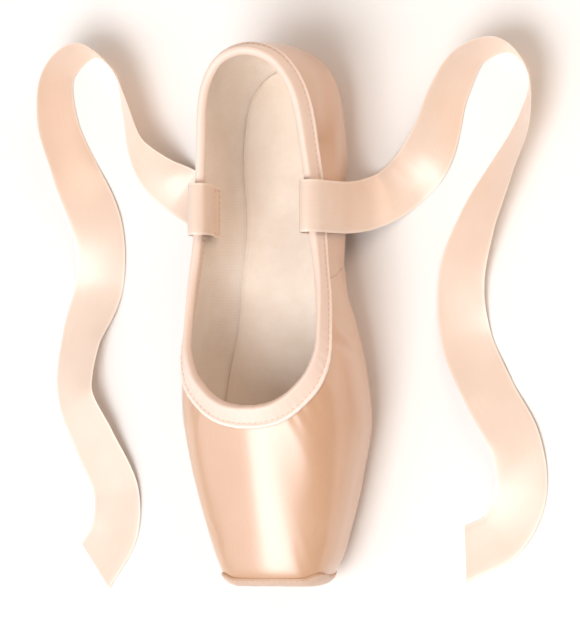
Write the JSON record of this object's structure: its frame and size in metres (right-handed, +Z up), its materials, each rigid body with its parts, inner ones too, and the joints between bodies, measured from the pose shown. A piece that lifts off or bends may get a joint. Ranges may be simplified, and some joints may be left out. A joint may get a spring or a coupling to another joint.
{
  "type": "pointe shoe",
  "caption": "Satin pointe shoe with a stiff box, a flat platform, a slim leather outsole, a bound collar and loose ankle ribbons.",
  "frame": {"origin": "on the floor, under the middle of the shoe's length and width", "axes": "+X towards the toe, +Y towards the wearer's left, +Z up"},
  "size_m": [0.2397, 0.2293, 0.0613],
  "materials": {
    "satin": "glossy peach satin",
    "suede": "buffed pale suede leather",
    "sock": "plain woven cotton",
    "tape": "folded satin tape",
    "cap_satin": "matte satin over the platform",
    "ribbon": "single-faced satin ribbon"
  },
  "bodies": {
    "root": {"upper": "satin", "outsole": "suede", "insole": "sock", "collar_binding": "tape", "toe_cap": "cap_satin", "ribbon_left": "ribbon", "ribbon_right": "ribbon"}
  },
  "joints": []
}
